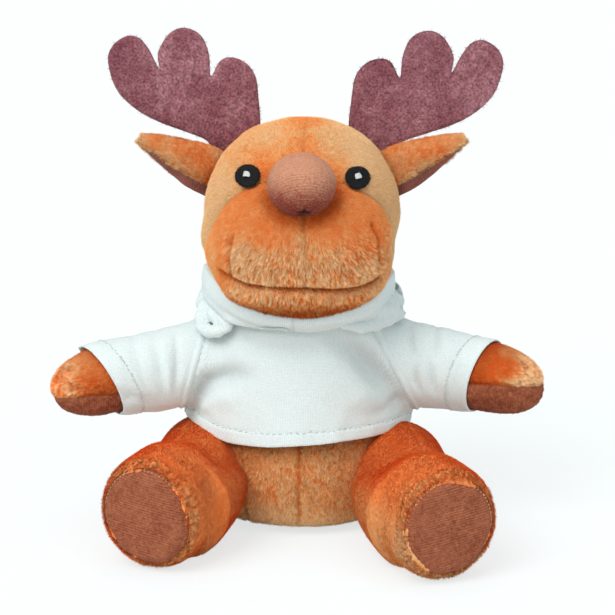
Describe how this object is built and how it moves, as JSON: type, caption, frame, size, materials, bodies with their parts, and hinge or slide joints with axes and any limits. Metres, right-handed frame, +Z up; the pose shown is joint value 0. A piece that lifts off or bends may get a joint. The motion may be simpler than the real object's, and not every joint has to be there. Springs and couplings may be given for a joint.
{
  "type": "seated plush deer",
  "caption": "Seated short-pile plush deer with flat felt antlers and a ball nose, wearing a white knitted hooded top; head, arms, legs, ears and antlers flex at their seams.",
  "frame": {"origin": "on the floor under the middle of the seated body", "axes": "+Z up, the face looks along -Y, +X to the right of a viewer who faces it"},
  "size_m": [0.2014, 0.1437, 0.1994],
  "materials": {
    "fur": "short brushed pile, about 1.5 mm",
    "velour": "fine ribbed velour",
    "ear_velour": "fine velour, in shade",
    "felt": "mottled felt, clean cut edges",
    "jersey": "fine knitted jersey",
    "black_thread": "satin stitch",
    "white_thread": "satin stitch",
    "brown_thread": "back stitch sunk in the pile",
    "stuffing": "loose polyester fibre"
  },
  "bodies": {
    "body": {"body_skin": "fur", "body_stuffing": "stuffing", "top_front": "jersey", "top_back": "jersey", "collar_band": "jersey", "hood": "jersey"},
    "head": {"head_skin": "fur", "muzzle_panel": "fur", "head_stuffing": "stuffing", "nose_cover": "velour", "nose_stuffing": "stuffing", "left_eye": "black_thread", "left_eye_highlight": "white_thread", "right_eye": "black_thread", "right_eye_highlight": "white_thread", "mouth_stitching": "brown_thread"},
    "left_ear": {"left_ear_back": "fur", "left_ear_lining": "ear_velour"},
    "right_ear": {"right_ear_back": "fur", "right_ear_lining": "ear_velour"},
    "left_antler_felt": {"left_antler": "felt"},
    "right_antler_felt": {"right_antler": "felt"},
    "left_arm": {"left_arm_skin": "fur", "left_palm": "velour", "left_arm_stuffing": "stuffing", "left_sleeve": "jersey"},
    "right_arm": {"right_arm_skin": "fur", "right_palm": "velour", "right_arm_stuffing": "stuffing", "right_sleeve": "jersey"},
    "left_leg": {"left_leg_skin": "fur", "left_sole": "velour", "left_leg_stuffing": "stuffing"},
    "right_leg": {"right_leg_skin": "fur", "right_sole": "velour", "right_leg_stuffing": "stuffing"}
  },
  "joints": [
    {"name": "neck_turn", "type": "hinge", "parent": "body", "child": "head", "pos_m": [0, -0.004, 0.083], "axis": [0, 0, 1], "range_deg": [-20, 20], "stiffness_Nm_per_rad": 0.15},
    {"name": "left_shoulder", "type": "hinge", "parent": "body", "child": "left_arm", "pos_m": [-0.042, -0.005, 0.0635], "axis": [0, 1, 0], "range_deg": [-8, 25], "stiffness_Nm_per_rad": 0.1},
    {"name": "right_shoulder", "type": "hinge", "parent": "body", "child": "right_arm", "pos_m": [0.042, -0.005, 0.0635], "axis": [0, -1, 0], "range_deg": [-8, 25], "stiffness_Nm_per_rad": 0.1},
    {"name": "left_hip", "type": "hinge", "parent": "body", "child": "left_leg", "pos_m": [-0.039, -0.008, 0.0215], "axis": [0, 0, -1], "range_deg": [0, 18], "stiffness_Nm_per_rad": 0.1},
    {"name": "right_hip", "type": "hinge", "parent": "body", "child": "right_leg", "pos_m": [0.039, -0.02, 0.0215], "axis": [0, 0, 1], "range_deg": [0, 18], "stiffness_Nm_per_rad": 0.1},
    {"name": "left_ear_flop", "type": "hinge", "parent": "head", "child": "left_ear", "pos_m": [-0.0363, 0, 0.1405], "axis": [0, 1, 0], "range_deg": [-8, 8], "stiffness_Nm_per_rad": 0.02},
    {"name": "right_ear_flop", "type": "hinge", "parent": "head", "child": "right_ear", "pos_m": [0.0363, 0, 0.1405], "axis": [0, -1, 0], "range_deg": [-8, 8], "stiffness_Nm_per_rad": 0.02},
    {"name": "left_antler_bend", "type": "hinge", "parent": "head", "child": "left_antler_felt", "pos_m": [-0.0271, 0.0065, 0.1564], "axis": [-0.9086, 0, -0.4177], "range_deg": [-10, 10], "stiffness_Nm_per_rad": 0.03},
    {"name": "right_antler_bend", "type": "hinge", "parent": "head", "child": "right_antler_felt", "pos_m": [0.0293, 0.0065, 0.1564], "axis": [0.9086, 0, -0.4177], "range_deg": [-10, 10], "stiffness_Nm_per_rad": 0.03}
  ]
}
